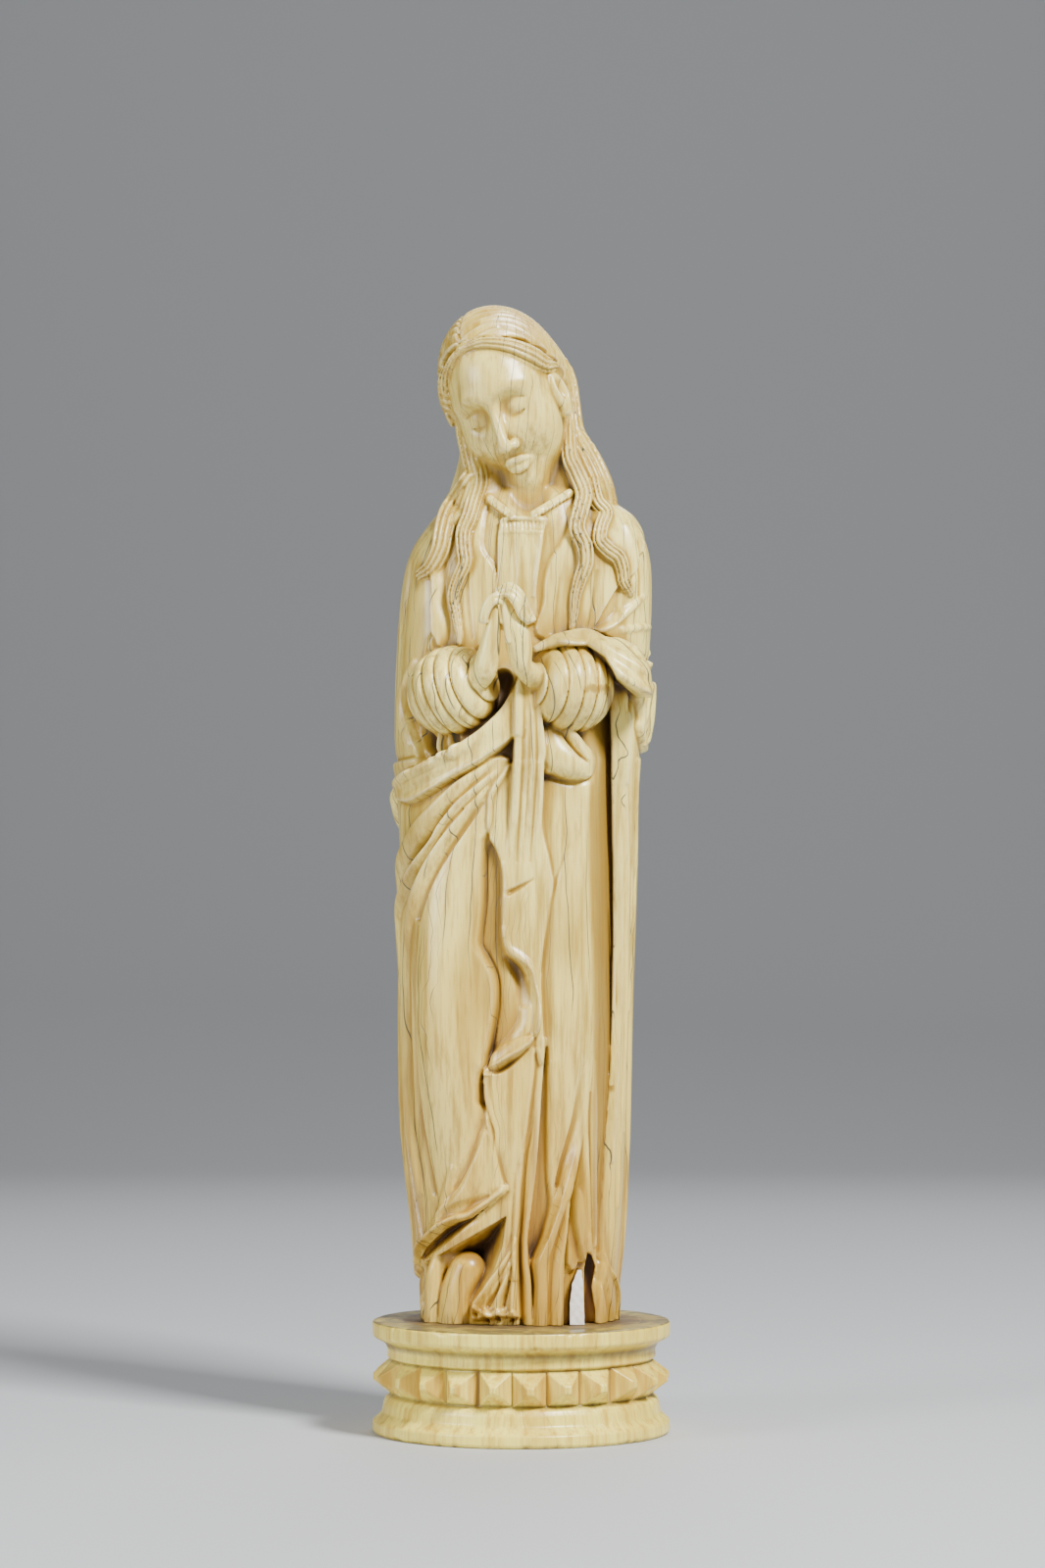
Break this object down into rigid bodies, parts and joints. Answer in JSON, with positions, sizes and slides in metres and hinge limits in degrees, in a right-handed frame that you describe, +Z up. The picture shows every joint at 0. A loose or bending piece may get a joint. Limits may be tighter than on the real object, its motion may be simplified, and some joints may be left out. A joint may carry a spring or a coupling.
{
  "type": "devotional statuette",
  "caption": "Carved ivory statuette of a standing woman in a long mantle, hands joined in prayer and head bowed, on a round turned plinth with a band of pyramid studs.",
  "frame": {"origin": "centre of the plinth's underside, on the surface it stands on", "axes": "+Z up along the statuette's height, the figure faces -Y, and the viewer's right is +X"},
  "size_m": [0.0796, 0.0796, 0.2997],
  "materials": {
    "ivory_figure": "semi-polished aged ivory",
    "ivory_plinth": "semi-polished aged ivory, yellower",
    "repair_filling": "matt white filling"
  },
  "bodies": {
    "root": {"figure": "ivory_figure", "plinth": "ivory_plinth", "repair_insert": "repair_filling"}
  },
  "joints": []
}
